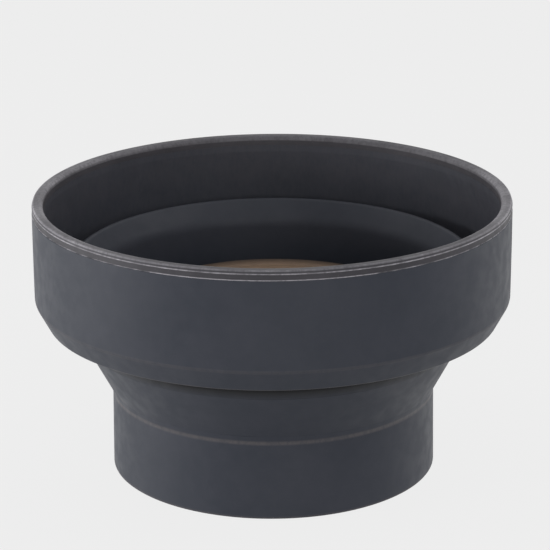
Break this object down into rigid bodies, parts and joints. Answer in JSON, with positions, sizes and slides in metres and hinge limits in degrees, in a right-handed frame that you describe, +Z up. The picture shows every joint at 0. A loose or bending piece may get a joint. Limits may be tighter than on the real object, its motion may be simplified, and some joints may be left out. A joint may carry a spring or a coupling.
{
  "type": "folding mini washer",
  "caption": "Round folding elastomer wash tub in three telescoping stages, with a belt-driven pulsator on a low powered base.",
  "frame": {"origin": "on the floor, under the tub's axis", "axes": "+Z up along the tub's axis, +Y towards the side with the power button and charging port"},
  "size_m": [0.302, 0.302, 0.176],
  "materials": {
    "tub_elastomer": "matte, faintly mottled",
    "rim_elastomer": "matte, edges worn pale",
    "seal_rubber": "matte",
    "dark_plastic": "fine moulded texture",
    "pulsator_plastic": "satin, fine grain",
    "steel": "satin",
    "white_plastic": "satin",
    "circuit_board": "satin lacquer",
    "cell_wrap": "shrink wrap",
    "lead_insulation": "satin",
    "light_guide": "clear moulded"
  },
  "bodies": {
    "base": {"base_sleeve": "tub_elastomer", "lower_fold": "tub_elastomer", "sleeve_clamp_ring": "dark_plastic", "clamp_screw_1": "steel", "clamp_screw_2": "steel", "clamp_screw_3": "steel", "clamp_screw_4": "steel", "drive_housing": "dark_plastic", "drive_tower": "dark_plastic", "bottom_cover": "dark_plastic", "cover_gasket": "seal_rubber", "cover_screw_1": "steel", "cover_screw_2": "steel", "cover_screw_3": "steel", "cover_screw_4": "steel", "foot_1": "seal_rubber", "foot_2": "seal_rubber", "foot_3": "seal_rubber", "foot_4": "seal_rubber", "upper_bearing": "steel", "lower_bearing": "steel", "bearing_clip": "steel", "shaft_seal": "seal_rubber", "drive_belt": "seal_rubber", "motor": "steel", "motor_screw_1": "steel", "motor_screw_2": "steel", "motor_bracket": "steel", "bracket_screw_1": "steel", "bracket_screw_2": "steel", "motor_lead": "lead_insulation", "battery_tray": "white_plastic", "battery_cell_1": "cell_wrap", "battery_cell_2": "cell_wrap", "battery_cell_3": "cell_wrap", "battery_lead": "lead_insulation", "control_board": "circuit_board", "button_switch": "seal_rubber", "button_bezel": "steel", "status_light": "light_guide", "charge_socket": "steel"},
    "middle_stage": {"middle_wall": "tub_elastomer", "middle_hoop": "dark_plastic", "upper_fold": "tub_elastomer"},
    "upper_stage": {"upper_wall": "tub_elastomer", "upper_lip": "tub_elastomer", "rim_ring": "rim_elastomer", "rim_hoop": "steel"},
    "agitator": {"pulsator": "pulsator_plastic", "pulsator_screw": "steel", "pulsator_cap": "pulsator_plastic", "drive_shaft": "steel", "driven_pulley": "dark_plastic", "pulley_clip": "steel"},
    "motor_rotor": {"motor_shaft": "steel", "motor_pulley": "steel"},
    "power_button": {"power_button": "dark_plastic"},
    "port_cover": {"port_cover": "tub_elastomer"}
  },
  "joints": [
    {"name": "lower_collapse", "type": "slide", "parent": "base", "child": "middle_stage", "axis": [0, 0, 1], "range_m": [-0.068, 0], "deforming": ["lower_fold"]},
    {"name": "upper_collapse", "type": "slide", "parent": "middle_stage", "child": "upper_stage", "axis": [0, 0, 1], "range_m": [0, 0.075], "deforming": ["upper_fold"]},
    {"name": "pulsator_spin", "type": "hinge", "parent": "base", "child": "agitator", "pos_m": [0, 0, 0.08], "axis": [0, 0, 1], "continuous": true},
    {"name": "motor_spin", "type": "hinge", "parent": "base", "child": "motor_rotor", "pos_m": [0, -0.058, 0.04], "axis": [0, 0, 1], "continuous": true},
    {"name": "button_press", "type": "slide", "parent": "base", "child": "power_button", "axis": [0, -1, 0], "range_m": [0, 0.0015], "stiffness_N_per_m": 800, "springref_m": -0.0008},
    {"name": "port_cover_swing", "type": "hinge", "parent": "base", "child": "port_cover", "pos_m": [0.028, 0.10099, 0.021], "axis": [-0.9636, 0.2672, 0], "range_deg": [0, 100], "stiffness_Nm_per_rad": 0.001, "springref_deg": -8.59}
  ],
  "couplings": [
    {"joint": "motor_spin", "follows": "pulsator_spin", "ratio": 4.5484}
  ]
}
